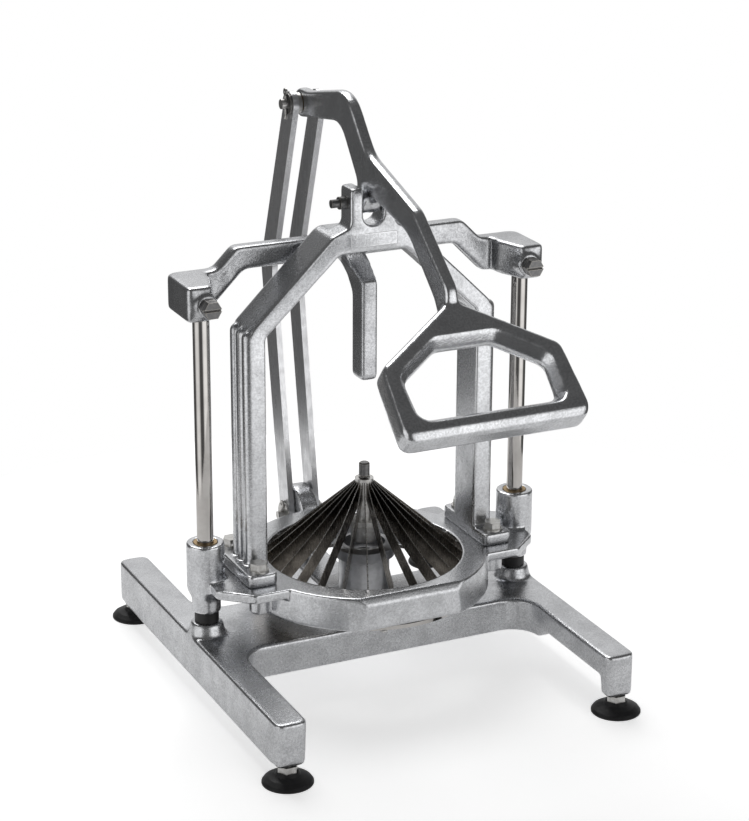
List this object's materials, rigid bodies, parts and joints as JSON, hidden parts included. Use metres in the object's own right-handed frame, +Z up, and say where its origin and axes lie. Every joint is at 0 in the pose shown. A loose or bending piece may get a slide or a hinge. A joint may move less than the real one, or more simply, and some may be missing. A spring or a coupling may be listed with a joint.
{
  "type": "lever onion cutter",
  "caption": "Hand lever drives a guided ring of radial blades down over a fixed cup to cut an onion into a blossom; cast aluminium frame on rubber feet.",
  "frame": {"origin": "centre of the overall footprint, feet to grip, on the counter surface", "axes": "+X to the right of the user, -Y towards the user and the grip, +Z up along the guide rods"},
  "size_m": [0.3104, 0.395, 0.4527],
  "materials": {
    "cast_aluminium": "tumbled sand casting",
    "rubber": "matt black",
    "plated_steel": "bright zinc plate",
    "rod_steel": "ground and polished",
    "cup_metal": "turned",
    "dark_steel": "oil-blackened",
    "bronze": "oil-impregnated",
    "blade_steel": "satin",
    "spring_steel": "bright",
    "link_aluminium": "mill finish with rounded edges"
  },
  "bodies": {
    "base": {"base_casting": "cast_aluminium", "foot_front_left": "rubber", "foot_front_right": "rubber", "foot_rear_left": "rubber", "foot_rear_right": "rubber", "foot_studs": "plated_steel", "guide_rod_left": "rod_steel", "guide_rod_right": "rod_steel", "rod_screws": "plated_steel", "bumper_left": "rubber", "bumper_right": "rubber", "onion_cup": "cup_metal", "cup_screw": "plated_steel", "bridge_casting": "cast_aluminium", "clamp_screws": "dark_steel", "clamp_nuts": "dark_steel", "lower_pin": "plated_steel", "lower_washers": "plated_steel", "lower_cotter": "plated_steel"},
    "carriage": {"blade_ring": "cast_aluminium", "slide_bushings": "bronze", "gate_frame": "cast_aluminium", "gate_bolts": "plated_steel", "gate_washers": "plated_steel", "blades": "blade_steel", "blade_hub": "rod_steel", "blade_retainer": "rod_steel", "retainer_screws": "plated_steel", "clevis_pin": "dark_steel", "clevis_clip": "plated_steel", "ejector_spring": "spring_steel"},
    "ejector": {"ejector_pin": "rod_steel", "ejector_cap": "dark_steel"},
    "handle": {"handle_casting": "cast_aluminium", "handle_bushing": "bronze", "link_bushing": "bronze"},
    "links": {"link_left": "link_aluminium", "link_right": "link_aluminium", "link_pin": "plated_steel", "link_washers": "dark_steel", "link_spacers": "plated_steel", "link_cotter": "plated_steel"}
  },
  "joints": [
    {"name": "lift", "type": "slide", "parent": "base", "child": "carriage", "axis": [0, 0, 1], "range_m": [0, 0.0685]},
    {"name": "handle_swing", "type": "hinge", "parent": "carriage", "child": "handle", "pos_m": [0, 0.01896, 0.378], "axis": [-1, 0, 0], "range_deg": [0, 31.5]},
    {"name": "link_swing", "type": "hinge", "parent": "handle", "child": "links", "pos_m": [0, 0.13446, 0.429], "axis": [1, 0, 0], "range_deg": [0, 29.4]},
    {"name": "eject", "type": "slide", "parent": "carriage", "child": "ejector", "axis": [0, 0, -1], "range_m": [0, 0.009], "stiffness_N_per_m": 300, "springref_m": -0.004, "deforming": ["ejector_spring"]}
  ],
  "couplings": [
    {"joint": "handle_swing", "follows": "lift", "rad_per_m": 8.0206},
    {"joint": "link_swing", "follows": "lift", "rad_per_m": 7.4784}
  ]
}
